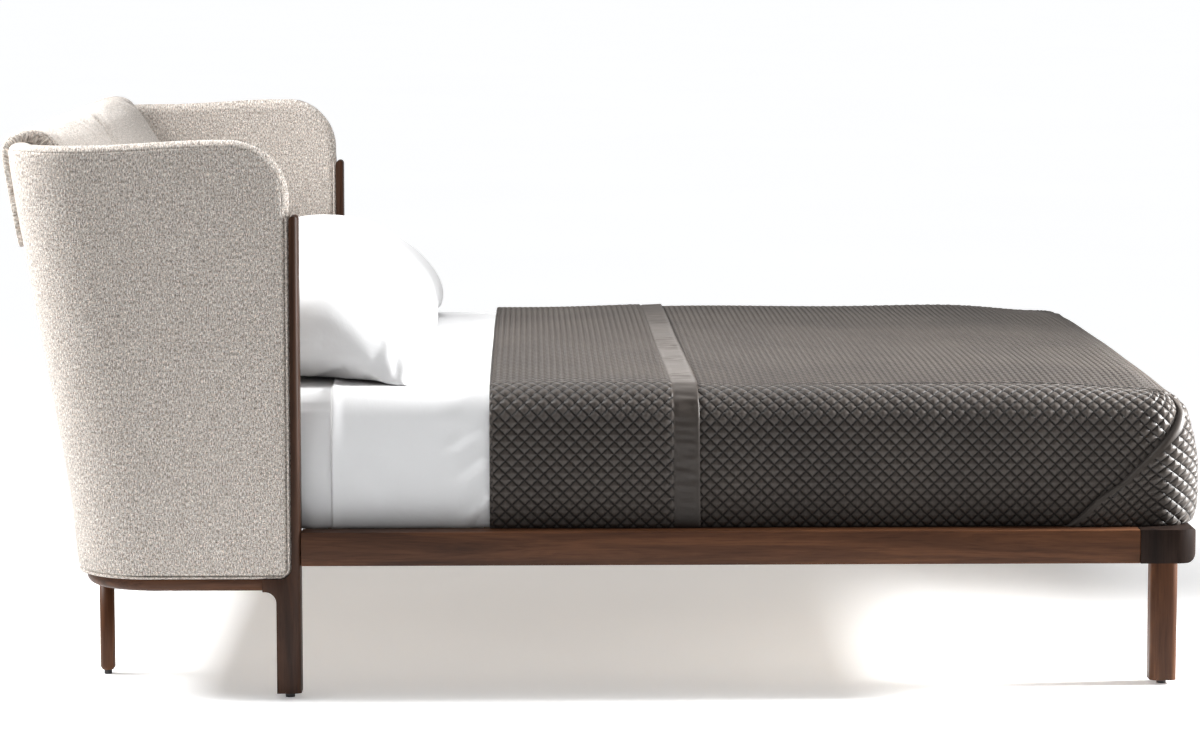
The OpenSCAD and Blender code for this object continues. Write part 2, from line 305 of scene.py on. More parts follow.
def grid_faces(rows, columns, flip=False):
    """Quads of a rows by columns grid of points, numbered row by row."""
    at = np.arange(rows * columns).reshape(rows, columns)
    quads = np.stack([at[:-1, :-1], at[:-1, 1:], at[1:, 1:], at[1:, :-1]], axis=-1).reshape(-1, 4)
    return quads[:, ::-1] if flip else quads


def drop_collapsed(points, faces, tiny=1e-3):
    """The faces that still have an area after some of their points were moved together."""
    corners = points[faces]
    diagonals = np.cross(corners[:, 2] - corners[:, 0], corners[:, 3] - corners[:, 1])
    return faces[np.linalg.norm(diagonals, axis=1) > tiny]


def build(name, points, faces, materials, uv, material_of=None):
    """A smooth mesh object from points in millimetres, quads and UVs in millimetres."""
    points = metres(np.asarray(points, dtype=float).reshape(-1, 3))
    faces = np.asarray(faces, dtype=np.int32)
    mesh = bpy.data.meshes.new(name)
    mesh.vertices.add(len(points))
    mesh.vertices.foreach_set("co", points.astype(np.float32).ravel())
    mesh.loops.add(faces.size)
    mesh.loops.foreach_set("vertex_index", faces.ravel())
    mesh.polygons.add(len(faces))
    mesh.polygons.foreach_set("loop_start", np.arange(0, faces.size, 4, dtype=np.int32))
    mesh.polygons.foreach_set("use_smooth", np.ones(len(faces), dtype=bool))
    for material in materials:
        mesh.materials.append(material)
    if material_of is not None:
        mesh.polygons.foreach_set("material_index", np.asarray(material_of, dtype=np.int32))
    layer = mesh.uv_layers.new(name="UVMap")
    flat = np.asarray(uv, dtype=np.float32).reshape(-1, 2)[faces.ravel()] / 1000
    layer.data.foreach_set("uv", flat.ravel())
    mesh.update(calc_edges=True)
    mesh.validate()
    piece = bpy.data.objects.new(name, mesh)
    bpy.context.collection.objects.link(piece)
    return piece


def join_grids(grids):
    """Several (points, UVs, flip) grids as one set of points and UVs, with each grid's own quads."""
    points, uvs, faces, start = [], [], [], 0
    for grid, uv, flip in grids:
        rows, columns = grid.shape[:2]
        flat = grid.reshape(-1, 3)
        quads = drop_collapsed(flat, grid_faces(rows, columns, flip))
        points.append(flat)
        uvs.append(uv.reshape(-1, 2))
        faces.append(quads + start)
        start += rows * columns
    return np.concatenate(points), np.concatenate(uvs), faces


def tube(path, radius, segments=10):
    """Grid and UVs of a round tube along a path of points."""
    path = np.asarray(path, dtype=float)
    along = np.gradient(path, axis=0)
    along /= np.linalg.norm(along, axis=1, keepdims=True)
    side = np.cross(along[0], [0.3, 0.5, 0.8])
    rings, reach = [], np.concatenate([[0], np.cumsum(np.linalg.norm(np.diff(path, axis=0), axis=1))])
    turn = np.linspace(0, 2 * math.pi, segments + 1)
    for point, direction in zip(path, along):
        side = side - direction * (side @ direction)
        side /= np.linalg.norm(side)
        other = np.cross(direction, side)
        rings.append(point + radius * (np.cos(turn)[:, None] * side + np.sin(turn)[:, None] * other))
    uv = np.stack(np.meshgrid(turn * radius, reach), axis=-1)
    return np.array(rings), uv


def smooth(x, low, high):
    """0 below low, 1 above high and a smooth step between."""
    t = np.clip((x - low) / (high - low), 0, 1)
    return t * t * (3 - 2 * t)


def ripple(u, v, seed, size, count=9, stretch=(1.0, 1.0)):
    """Soft seeded waves of about that size in millimetres, between -1 and 1."""
    random = np.random.default_rng(seed)
    total = np.zeros(np.broadcast(u, v).shape)
    for _ in range(count):
        angle, phase = random.uniform(0, 2 * math.pi, 2)
        wave = 2 * math.pi / (size * random.uniform(0.6, 1.7))
        total += np.sin(wave * (u / stretch[0] * math.cos(angle) + v / stretch[1] * math.sin(angle)) + phase)
    return total / math.sqrt(count) / 1.6


# ---------------------------------------------------------------- upholstered shell

SHELL_OUT = HALF_W - 5
SHELL_IN = HALF_W - 56.5
SHELL_HALF = (SHELL_OUT - SHELL_IN) / 2
SHELL_R = 150.0
BACK_HALF = SHELL_OUT - SHELL_R
WING_FRONT = -18.0
WING_TOP = 1088.0
WING_CORNER = 115.0
BACK_DROP = 11.0
# distances in from an edge of the padding, and heights over the base rail, of the rows drawn there
BORDER = np.array([0, 0.5, 1.4, 2.8, 4.6, 6.6, 8.6, 10.2, 11.4, 12.4, 13.2, 14.0, 15.0, 16.6, 19, 22, 26, 30])
FOOT_ROWS = np.array([13.0, 11.0, 9.5, 8.0, 6.8, 5.6, 4.0, 2.0, 0.0])
# the leaning back: heights, and how far back its outer face stands there
LEAN_Z = [200, 236, 250, 273, 330, 373, 472, 571, 670, 768, 886, 964.5, 1042, 1100]
LEAN_X = [-436, -441, -445.5, -449, -453.5, -458.5, -473.7, -489.8, -507.9, -525, -545.7, -559.5, -570,
          -575.5]


def lean_x(z):
    """X of the outer face of the back at height z."""
    return np.interp(z, LEAN_Z, LEAN_X)


def pad_border(distance, radius, power=2.3):
    """How full a pad is, from 0 at its border to 1 at radius and beyond."""
    t = 1 - np.clip(distance / radius, 0, 1)
    return (1 - t ** power) ** (1 / power)


def shell_rows(top):
    """Heights of a shell's rows, close together at its top and at its foot."""
    down = np.linspace(0, 1, 84)[1:]
    return np.concatenate([top - BORDER, top - 30 - down * (top - 45 - BASE_TOP), BASE_TOP + FOOT_ROWS])


def shell_crown(z, top):
    """How far the padding swells at height z under that top."""
    return 2.6 * np.sin(np.clip((z - BASE_TOP) / (top - BASE_TOP), 0, 1) * math.pi) ** 0.7


def foot_tuck(z):
    """How far the padding is drawn in over the base rail."""
    return 7.0 * (1 - pad_border(z - BASE_TOP - 5.5, 6.5))


def from_border(run, z, high):
    """Distance in from the wing's outline, which has a round front top corner."""
    gap_x = WING_CORNER - run
    gap_z = z - (high - WING_CORNER)
    rounded = WING_CORNER - np.hypot(np.maximum(gap_x, 0), np.maximum(gap_z, 0))
    return np.where((gap_x > 0) & (gap_z > 0), rounded, np.minimum(run, high - z))


def wing_column(depth, share, angle):
    """Both faces of one column of a wing: depth from its front, share of its length, angle round the bend."""
    corner = max(WING_CORNER - depth, 0)
    high = WING_TOP - BACK_DROP * smooth(share, 0.3, 1.0)
    z = shell_rows(high - WING_CORNER + math.sqrt(WING_CORNER ** 2 - corner ** 2))
    length = WING_FRONT - (lean_x(z) + SHELL_R)
    run = BORDER[-1] + share * (length - BORDER[-1]) if share else np.full_like(z, depth)
    arc = run + angle * 130
    border = from_border(run, z, high)
    # beside the post the padding is thinner, in the channel between the two welts
    above = np.where(run > 40, 1.0, smooth(z, POST_TOP - 4, POST_TOP + 22))
    channel = np.where(border < 9.5, 0.74, 0.74 + 0.26 * pad_border(border - 9.5, 7.0))
    half = SHELL_HALF * ((1 - above) * channel + above * pad_border(border, 22))
    seam = 1.5 * np.exp(-((border - 13) / 1.3) ** 2) * above
    waves = 0.7 * ripple(arc, z, 11, 210) + 0.35 * ripple(arc, z, 12, 60, stretch=(1.0, 2.0))
    swell = shell_crown(z, high) * smooth(border, 8, 80) * (1 - 0.6 * angle)
    swell = swell + waves * smooth(border, 4, 40) - seam
    sides = []
    for offset in (half + swell - foot_tuck(z), -(half + 0.4 * swell - 0.4 * foot_tuck(z))):
        radius = SHELL_R - SHELL_HALF + offset
        x = WING_FRONT - run - radius * math.sin(angle)
        sides.append(stack(x, BACK_HALF + radius * math.cos(angle), z))
    return sides[0], sides[1], stack(arc, z)


def wing_shell(side, sign, materials):
    columns = [(depth, 0.0, 0.0) for depth in BORDER]
    columns += [(BORDER[-1] + 400 * share, share, 0.0) for share in np.linspace(0, 1, 52)[1:]]
    columns += [(WING_CORNER, 1.0, angle) for angle in np.linspace(0, math.pi / 2, 26)[1:]]
    outer, inner, uv_out = (np.array(part) for part in zip(*(wing_column(*column) for column in columns)))
    uv_in = uv_out + (3000, 0)
    grids = [(outer, uv_out, False), (inner, uv_in, True),
             (between(outer, inner, -1), between(uv_out, uv_in, -1), False),
             (between(outer, inner), between(uv_out, uv_in), False)]
    return pad(f"wing_pad_{side}", grids, sign, sign > 0, materials)


def pad(name, grids, sign, flip, materials):
    """A piece in the oatmeal weave from grids drawn for the +Y side."""
    points, uvs, faces = join_grids(grids)
    points[:, 1] *= sign
    faces = np.concatenate(faces)
    return build(name, points, faces[:, ::-1] if flip else faces, [materials["oatmeal"]], uvs)


def back_shell(materials):
    top = WING_TOP - BACK_DROP
    y, z = crossed(np.linspace(-BACK_HALF, BACK_HALF, 163), shell_rows(top))
    half = SHELL_HALF * pad_border(top - z, 22)
    inset = smooth(BACK_HALF - np.abs(y), 0, 60)
    waves = inset * (0.8 * ripple(y, z, 21, 260) + 0.3 * ripple(y, z, 22, 70)) * smooth(top - z, 4, 40)
    foot = foot_tuck(z)
    mid = lean_x(z) + SHELL_HALF
    outer = stack(mid - (half + 0.4 * shell_crown(z, top) * inset + waves - foot), y, z)
    inner = stack(mid + half + 0.4 * waves - 0.4 * foot, y, z)
    uv_out, uv_in = stack(y + 6000, z), stack(y + 9000, z)
    grids = [(outer, uv_out, True), (inner, uv_in, False),
             (between(outer, inner, -1), between(uv_out, uv_in, -1), True)]
    return pad("headboard_pad", grids, 1, False, materials)


WELT_R = 2.8
WELT_X = -22.6
WELT_Z = BASE_TOP + 3.0


def welt(name, path, sign, materials):
    grid, uv = tube(path, WELT_R)
    return pad(name, [(grid, uv, sign < 0)], sign, False, materials)


def outer_path():
    """Down behind the post, along the base rail and round to the middle of the back."""
    y = SHELL_OUT - 1.4
    bend = 20.0
    turn_x = float(lean_x(WELT_Z)) + SHELL_R - 2
    r = y - BACK_HALF
    path = [(WELT_X, y, z) for z in np.linspace(POST_TOP - 3, WELT_Z + bend, 60)]
    path += [(WELT_X - bend + bend * math.cos(a), y, WELT_Z + bend - bend * math.sin(a))
             for a in np.linspace(0, math.pi / 2, 10)[1:]]
    path += [(x, y, WELT_Z) for x in np.linspace(WELT_X - bend, turn_x, 30)[1:]]
    path += [(turn_x - r * math.sin(a), BACK_HALF + r * math.cos(a), WELT_Z)
             for a in np.linspace(0, math.pi / 2, 24)[1:]]
    return path + [(turn_x - r, t, WELT_Z) for t in np.linspace(BACK_HALF, 0, 60)[1:]]


def inner_path():
    low = 1000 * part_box("inner_piping_left")[0][2]
    return [(WELT_X, SHELL_IN + 1.6, z) for z in np.linspace(POST_TOP - 3, low, 60)]


def stands_for(piece, node, body):
    """Hides the CAD solid a piece is drawn for, and puts the piece on the body it rides on."""
    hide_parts(node)
    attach(piece, body)


def make_shell(materials):
    for side, sign in SIDES:
        wing = wing_shell(side, sign, materials)
        outer = welt(f"outer_welt_{side}", outer_path(), sign, materials)
        inner = welt(f"inner_welt_{side}", inner_path(), sign, materials)
        for piece, stem in ((wing, "wing_upholstery_"), (outer, "outer_piping_"), (inner, "inner_piping_")):
            stands_for(piece, stem + side, "bed_frame")
    back = back_shell(materials)
    stands_for(back, "headboard_upholstery", "bed_frame")


# ---------------------------------------------------------------- drape-over headboard cushions

# Section of a cushion: t forward off the rear face of the back, s up along its lean, from z = BASE_TOP.
CUSHION_SKIN = [(-12.5, 646), (-13.5, 700), (-13.5, 770), (-13.5, 822), (-12.0, 843), (-7, 856), (4, 864),
                (22, 869), (46, 871), (66, 868), (80, 860), (91, 847), (100, 826), (108, 800),
                (119, 770), (132, 742), (146, 705), (157, 655), (165, 595), (170, 525), (170, 455),
                (163, 398), (148, 366), (122, 353), (92, 355), (68, 368)]
CUSHION_BACK = [(-1.0, 646), (-1.0, 700), (-0.5, 770), (1.0, 812), (4.0, 829), (9, 839), (17, 844),
                (28, 846.0), (40, 846.5), (50, 845), (57, 840), (60, 832), (61.5, 815), (61.5, 790),
                (61.5, 765), (61.5, 738), (61.5, 700), (61.5, 650), (61.5, 595), (61.5, 525),
                (61.5, 470), (61.5, 430), (61.5, 405), (61.5, 392), (61.5, 382), (61.5, 374)]
LEAN = math.radians(9.85)
LEAN_FOOT = -433.5
CUSHION_HALF = 806.0
CUSHION_GAP = 1.5


def leaned(t, y, s):
    """Points at t forward and s up in the cushion's section, on the lean of the back."""
    x = LEAN_FOOT + t * math.cos(LEAN) - s * math.sin(LEAN)
    return stack(x, y, BASE_TOP + t * math.sin(LEAN) + s * math.cos(LEAN))


def resample(points, count):
    """A smooth curve through the points at even spacing."""
    points = np.asarray(points, dtype=float)
    reach = np.concatenate([[0], np.cumsum(np.linalg.norm(np.diff(points, axis=0), axis=1))])
    fine = np.linspace(0, reach[-1], 40 * len(points))
    curve = stack(*(np.interp(fine, reach, values) for values in points.T))
    kernel = np.hanning(61)
    kernel /= kernel.sum()
    padded = np.pad(curve, ((30, 30), (0, 0)), mode="reflect", reflect_type="odd")
    soft = stack(*(np.convolve(values, kernel, "valid") for values in padded.T))
    reach = np.concatenate([[0], np.cumsum(np.linalg.norm(np.diff(soft, axis=0), axis=1))])
    even = np.linspace(0, reach[-1], count)
    return stack(*(np.interp(even, reach, values) for values in soft.T)), even


def back_cushion(side, sign, seed, materials):
    count = 96
    both, reach = resample(np.hstack([CUSHION_SKIN, CUSHION_BACK]), count)
    skin, base = both[:, :2], both[:, 2:]
    edge = np.array([0, 1.2, 4.0, 8.5, 15, 23, 33, 45, 60])
    first, last = CUSHION_GAP + edge, (CUSHION_HALF - edge)[::-1]
    across = np.concatenate([first, np.linspace(first[-1], last[0], 58)[1:-1], last])
    y, index = crossed(across, np.arange(count))
    room = np.minimum(y - CUSHION_GAP, CUSHION_HALF - y)
    depth = np.linalg.norm(skin - base, axis=1)[index]
    radius = np.clip(depth * 0.42, 5, 46)
    full = pad_border(room, radius, 2.2)
    wrinkle = 2.4 * ripple(y, reach[index], seed, 190, stretch=(0.6, 1.5))
    wrinkle = wrinkle + 1.0 * ripple(y, reach[index], seed + 1, 60, stretch=(0.7, 1.8))
    pull = np.exp(-room / 55) * np.sin(reach[index] / 15 + 2 * ripple(y, reach[index], seed + 2, 120))
    puff = smooth(depth, 12, 70)
    direction = (skin - base) / np.linalg.norm(skin - base, axis=1, keepdims=True)
    outward = full * (depth + puff * (wrinkle + 1.2 * pull))
    t = base[:, 0][index] + direction[:, 0][index] * outward
    s = base[:, 1][index] + direction[:, 1][index] * outward
    outer = leaned(t, y, s)
    inner = leaned(base[:, 0][index], y, base[:, 1][index])
    uv_out, uv_in = stack(y, reach[index]), stack(y + 3000, reach[index])
    grids = [(outer, uv_out, False), (inner, uv_in, True),
             (between(outer, inner, 0), between(uv_out, uv_in, 0), True),
             (between(outer, inner, -1), between(uv_out, uv_in, -1), False)]
    piece = merge(pad(f"drape_cushion_{side}", grids, sign, sign < 0, materials))
    place = np.array([v.co for v in piece.data.vertices]) * 1000
    forward = place[:, 0] - 1000 * FRONT_X - LEAN_FOOT
    across_lean = forward * math.cos(LEAN) + (place[:, 2] - BASE_TOP) * math.sin(LEAN)
    inflate(piece, 1 - smooth(across_lean, 64, 92), 3.0, 0.035, 14)
    subdivide(piece)
    return piece


def make_cushions(materials):
    for (side, sign), seed in zip(SIDES, (31, 41)):
        piece = back_cushion(side, sign, seed, materials)
        stands_for(piece, "back_cushion_" + side, "back_cushion_" + side)


# ---------------------------------------------------------------- mattress and bedding

EDGE_R = 60.0
TUCK_R = 7.0
HALF = MATTRESS_HALF - EDGE_R
HEAD_X = -206.0
FOOT_X = 1660.0
TOP_Z = 593.5
LOW_Z = MATTRESS_Z - 7.0
CORNER_U = 100.0
NEAR_CORNER = FOOT_X + CORNER_U
FAR_CORNER = NEAR_CORNER + 2 * HALF
ROUND = NEAR_CORNER + FAR_CORNER
SHEET_X = 57.0
FOLD_X = 372.5
HEM = 48.0
FITTED, SHEET, UNDER, OVER = 1.5, 4.5, 7.0, 12.0
FOOT_PUSH = ([325, 333, 350, 379, 414, 453, 500, 540, 567], [14, 20, 26, 28, 26, 24, 15, 4, 0])


def crown(x, y):
    """How far the top of the bedding rises over its edges; it sags at the foot corners and the far edge."""
    sag = 9.0 * np.exp(-((x - FOOT_X) / 130) ** 2 - ((y - HALF) / 190) ** 2)
    sag = sag + 7.0 * np.exp(-((x - FOOT_X) / 110) ** 2 - ((y + HALF) / 150) ** 2)
    sag = sag + 5.0 * smooth(y, 0, HALF) + 4.0 * smooth(x, FOOT_X - 260, FOOT_X)
    sag = sag + 9.0 * smooth(y, 450, HALF) * (1 - smooth(x, 420, 800))
    return 4.5 * (1 - np.clip(np.abs(y) / HALF, 0, 1) ** 3) + 1.8 * ripple(x, y, 51, 620) - sag


def drop_curve(grow, reach):
    """Outward distance, height and slope of a cover's side, at that much cloth from the top's edge."""
    r = EDGE_R + grow
    turn = np.linspace(0, math.pi / 2, 40)
    shoulder = TOP_Z - EDGE_R
    z = np.linspace(shoulder, LOW_Z + TUCK_R, 80)[1:]
    belly = 3.5 * np.sin(math.pi * (z - LOW_Z) / (shoulder - LOW_Z))
    tuck = np.linspace(0, 0.72 * math.pi, 16)[1:]
    tuck_out, tuck_up = grow - TUCK_R + TUCK_R * np.cos(tuck), LOW_Z + TUCK_R - TUCK_R * np.sin(tuck)
    out = np.concatenate([-EDGE_R + r * np.sin(turn), grow + belly, tuck_out, [grow - 24]])
    up = np.concatenate([shoulder + r * np.cos(turn), z, tuck_up, [LOW_Z + 3.2]])
    length = np.concatenate([[0], np.cumsum(np.hypot(np.diff(out), np.diff(up)))])
    angle = np.minimum(reach / r, math.pi / 2)
    return np.interp(reach, length, out), np.interp(reach, length, up), angle


DROP = EDGE_R * math.pi / 2 + 230 + 40


def side_point(u, s, grow, extra=0.0):
    """A cover's sides: u runs round the bed from the near head end, s down from the top's edge."""
    u, s, extra = np.broadcast_arrays(u, s, extra)
    out, up, angle = drop_curve(grow, s)
    near_turn, far_turn = (np.clip((u - at) / CORNER_U, 0, 1) for at in (FOOT_X, FAR_CORNER))
    turn = np.where(u < NEAR_CORNER, near_turn, 1 + far_turn) * math.pi / 2
    past = np.maximum(u - FAR_CORNER - CORNER_U, 0)
    cx = np.where(u < FOOT_X, u, FOOT_X) - past
    cy = -HALF + np.clip(u - NEAR_CORNER, 0, 2 * HALF)
    nx, ny = np.sin(turn), -np.cos(turn)
    push = np.interp(up, *FOOT_PUSH) * np.clip(nx, 0, 1) ** 1.5
    reach = EDGE_R + out + push + extra * np.sin(angle)
    rise = crown(cx, cy) * (1 - smooth(s, 0, EDGE_R * math.pi / 2))
    return stack(cx + nx * reach, cy + ny * reach, up + rise + extra * np.cos(angle))


def top_point(x, y, grow, extra=0.0):
    return stack(x, y, TOP_Z + grow + crown(x, y) + extra)


def cross_point(x, w, grow, extra=0.0):
    """A straight length of a cover: w runs across the bed, 0 on its centre line."""
    x, w, extra = np.broadcast_arrays(x, w, extra)
    flat = np.clip(w, -HALF, HALF)
    over = np.abs(w) - np.abs(flat)
    out, up, angle = drop_curve(grow, over)
    rise = crown(x, flat) * (1 - smooth(over, 0, EDGE_R * math.pi / 2))
    y = flat + np.sign(w) * np.where(over > 0, EDGE_R + out + extra * np.sin(angle), 0)
    return stack(x, y, np.where(over > 0, up + extra * np.cos(angle), TOP_Z + grow + extra) + rise)


def quilt(u, v, depth=1.5):
    """Puffed diamonds between two families of diagonal stitch lines."""
    one = np.abs(np.sin(math.pi * (u + v) / QUILT))
    two = np.abs(np.sin(math.pi * (u - v) / QUILT))
    return depth * (one * two) ** 0.5


def steps(low, high, step):
    return np.linspace(low, high, max(2, int(round((high - low) / step)) + 1))


def merge(piece, distance=0.05):
    """Joins the points of neighbouring grids that lie together."""
    work = bmesh.new()
    work.from_mesh(piece.data)
    bmesh.ops.remove_doubles(work, verts=work.verts, dist=distance / 1000)
    work.to_mesh(piece.data)
    work.free()
    for polygon in piece.data.polygons:
        polygon.use_smooth = True
    return piece


def held_steady(piece, hold):
    """A vertex group of that weight on each point of the piece, for the cloth to be pinned by."""
    group = piece.vertex_groups.new(name="held")
    for index, weight in enumerate(hold):
        if weight > 0:
            group.add([index], float(weight), "REPLACE")
    return group.name


def inflate(piece, hold, pressure, slack, reach):
    """Blows a closed cover up as cloth, holding some points and letting none go further than reach."""
    scene = bpy.context.scene
    count = len(piece.data.vertices)
    start = np.empty(3 * count)
    piece.data.vertices.foreach_get("co", start)
    modifier = piece.modifiers.new("cloth", "CLOTH")
    cloth = modifier.settings
    cloth.vertex_group_mass = held_steady(piece, hold)
    cloth.quality = 5
    cloth.mass = 0.3
    cloth.tension_stiffness = 12
    cloth.compression_stiffness = 4
    cloth.shear_stiffness = 4
    cloth.bending_stiffness = 0.08
    cloth.shrink_min = -slack
    cloth.use_pressure = True
    cloth.uniform_pressure_force = pressure
    cloth.effector_weights.gravity = 0
    modifier.collision_settings.use_collision = False
    modifier.point_cache.frame_start = 1
    modifier.point_cache.frame_end = 20
    for tick in range(1, 21):
        scene.frame_set(tick)
    blown = piece.evaluated_get(bpy.context.evaluated_depsgraph_get())
    end = np.empty(3 * count)
    blown.data.vertices.foreach_get("co", end)
    move = (end - start).reshape(-1, 3)
    length = np.linalg.norm(move, axis=1, keepdims=True)
    cap = reach / 1000
    move *= cap * np.tanh(length / cap) / np.maximum(length, 1e-9)
    piece.modifiers.remove(modifier)
    piece.data.vertices.foreach_set("co", (start.reshape(-1, 3) + move).ravel())
    piece.data.update()
    scene.frame_set(1)


def subdivide(piece):
    """One smooth subdivision, applied when the piece is drawn."""
    modifier = piece.modifiers.new("smooth", "SUBSURF")
    modifier.levels = modifier.render_levels = 1


# The hospital fold at each foot corner: (u, s) from the ear at the top down to the lower edge
FOLD_LINE = ((1737.0, 44.0), (1733.0, 60.0), (1730.0, 66.0), (1723.0, 87.5), (1698.0, 120.5), (1655.0, 172.5),
             (1600.0, 226.5), (1557.0, 255.5), (1524.0, 288.5), (1495.0, 312.0), (1470.0, 345.0))
FOLD_COLUMN = 1620.0
ROLL = 13.0
ROLL_TOP = 40.0
# half the top's width in the quilting, which is a whole number of diamonds, and where it starts
QUILT_HALF = 837.5
QUILT_SHIFT = 2.5
TURN_K = QUILT_HALF / HALF
# the hem of the fold-back, which isn't quite straight: places across the bed, and its distance down it there
HEM_AT = [-HALF - DROP, -926, -866, -600, -373, -50, 829]
HEM_X = [779, 776, 773.7, 770.8, 767.5, 762.8, 759.5]


def fold_u(s):
    """Where the hospital fold crosses the height s, counted from the near head end."""
    us, ss = (np.array(c) for c in zip(*FOLD_LINE))
    return np.interp(s, ss, us)


def corner_u(u):
    """u as if counted from the near head end, for either side of the bed."""
    return np.minimum(u, ROUND - u)


def fold_columns(low, high, step):
    """Columns round the bed, with close ones beside each hospital fold."""
    near = np.array([-14, -9, -5, -2.5, -1.0, -0.2, 0.2, 0.9, 2.0, 3.6, 5.6, 8.0, 11.0, 15.0])
    columns = steps(low, high, step)
    for centre, way in ((FOLD_COLUMN, 1), (ROUND - FOLD_COLUMN, -1)):
        columns = columns[np.abs(columns - centre) > 17]
        columns = np.concatenate([columns, centre + way * near])
    return np.sort(columns)


def follow_fold(u, s):
    """Bends the columns beside a fold so that they run along it."""
    shift = fold_u(s) - FOLD_COLUMN
    near = 1 - smooth(np.abs(u - FOLD_COLUMN), 20, 420)
    far = 1 - smooth(np.abs(ROUND - u - FOLD_COLUMN), 20, 420)
    return u + shift * (near - far)


def quilt_pattern(u, s):
    """Where the cloth of the sides is in the quilting, which runs on unbroken from the top."""
    p = np.where(u > NEAR_CORNER, NEAR_CORNER + (u - NEAR_CORNER) * TURN_K, u)
    p = np.where(u > FAR_CORNER, NEAR_CORNER + 2 * HALF * TURN_K + (u - FAR_CORNER), p)
    return p + QUILT_SHIFT, QUILT_HALF + s


def turned_pattern(u, s):
    """The quilting beyond a hospital fold, where the cloth lies turned."""
    along = 1.30 * (u - NEAR_CORNER + s)
    cross = 0.92 * (u - NEAR_CORNER - s)
    return (along + cross) / 2 + NEAR_CORNER + QUILT_SHIFT, (along - cross) / 2 + QUILT_HALF


def coverlet_side(step):
    """The hanging sides with the hospital folds: points, UVs, and which points are on the plain roll."""
    u, s = crossed(fold_columns(FOLD_X, ROUND - FOLD_X, step), steps(0, DROP, step))
    u = follow_fold(u, s)
    mirrored = corner_u(u)
    past = (mirrored - fold_u(s)) * 0.74
    beyond = (past > 0) & (mirrored < NEAR_CORNER)
    pattern_u, pattern_v = np.where(beyond, turned_pattern(mirrored, s), quilt_pattern(u, s))
    rolled = (past > 0) & (past < ROLL * (0.45 + 0.55 * smooth(s, 60, 130))) & (s > ROLL_TOP)
    edge_depth = 3.4 * (0.5 + 0.5 * smooth(s, 4, 40))
    depth = np.where(s < ROLL_TOP, edge_depth, edge_depth * smooth(np.abs(past), 2, 14) * ~rolled)
    edge = np.sqrt(np.clip(1 - (1 - np.clip(past / 8, 0, 1)) ** 2, 0, 1))
    lap = np.where(past > 0, 11 * edge * (1 - 0.55 * smooth(past, 12, 150)), -1.8 * np.exp(-(past / 28) ** 2))
    lap = lap * (0.35 * smooth(s, 40, 60) + 0.65 * smooth(s, 60, 100))
    lap = lap * (1 - smooth(mirrored, NEAR_CORNER - 40, NEAR_CORNER + 120))
    drape = 1.8 * ripple(u, s, 61, 240) * smooth(s, 20, 120)
    relief = quilt(pattern_u, pattern_v, 1.0) * depth
    return side_point(u, s, UNDER, relief + lap + drape), stack(pattern_u, pattern_v), rolled


def coverlet_top(step):
    x, y = crossed(steps(FOLD_X, FOOT_X, step), steps(-HALF, HALF, step))
    border = np.minimum(HALF - np.abs(y), FOOT_X - x)
    deep = (2.6 + 1.8 * smooth(x, 700, 1300)) * (0.7 + 0.3 * smooth(border, -4, 30))
    pattern = x + QUILT_SHIFT, y * TURN_K
    return top_point(x, y, UNDER, quilt(*pattern, 1.0) * deep), stack(*pattern)


def fold_back(step):
    """The part turned back over the rest: points, UVs, distance from its hem and places across the bed."""
    reach = HALF + DROP
    across = steps(-reach, reach, step)
    t, w = crossed(np.concatenate([steps(0, 1, step / 398), [1.004]]), across)
    hem_x = np.interp(w, HEM_AT, HEM_X)
    shown = FOLD_X + np.minimum(t, 1) * (hem_x - FOLD_X)
    from_hem = (1 - t) * (hem_x - FOLD_X)
    over = np.abs(w) - HALF
    soft = 0.6 + 0.4 * smooth(np.abs(over), 4, 40)
    pattern = shown + QUILT_SHIFT, np.where(over > 0, np.sign(w) * (QUILT_HALF + over), w * TURN_K)
    puff = quilt(*pattern, 3.4) * smooth(from_hem, HEM, HEM + 6) * (soft - 0.25 * (over < 0))
    gathered = 0.35 + 0.65 * smooth(ripple(shown * 0, w, 72, 210), -0.3, 0.5)
    pucker = 1.5 * ripple(shown * 0.25, w, 71, 17) * gathered * (from_hem < HEM) * smooth(from_hem, 3, 9)
    seam = -1.8 * np.exp(-((from_hem - HEM) / 2.2) ** 2) + 1.3 * np.exp(-((from_hem - 2) / 2.2) ** 2)
    lift = puff + pucker + seam + 1.2 * ripple(shown, w, 62, 260) * smooth(over, 20, 120)
    flap = cross_point(shown, w, OVER + 1.0, lift - (t > 1) * (OVER - UNDER))
    return flap, stack(*pattern), from_hem, across


def fold_nose(high, across):
    """The round fold itself, from the lower layer up to the fold-back's first row."""
    low = cross_point(np.full(len(across), FOLD_X), across, UNDER)
    middle, half = (low + high) / 2, (high - low) / 2
    angles = np.linspace(-math.pi / 2, math.pi / 2, 9)
    bend = np.array([middle + math.sin(a) * half + math.cos(a) * np.array([-6.0, 0, 0]) for a in angles])
    return bend, stack(FOLD_X + 7 * angles[:, None], across[None])


def coverlet(materials):
    step = QUILT / 6
    side, uv_side, rolled = coverlet_side(step)
    top, uv_top = coverlet_top(step)
    flap, uv_flap, from_hem, across = fold_back(step)
    nose, uv_nose = fold_nose(flap[0], across)
    grids = [(side, uv_side, False), (top, uv_top, True), (flap, uv_flap, True), (nose, uv_nose, True)]
    points, uvs, faces = join_grids(grids)
    plain_side = rolled.ravel()[faces[0]].all(axis=1)
    plain_flap = from_hem.ravel()[faces[2][:, 0] - (side.size + top.size) // 3] <= HEM
    material_of = np.concatenate([plain_side, np.zeros(len(faces[1])), plain_flap, np.zeros(len(faces[3]))])
    both = [materials["quilt"], materials["hem"]]
    return merge(build("quilted_coverlet", points, np.concatenate(faces), both, uvs, material_of))


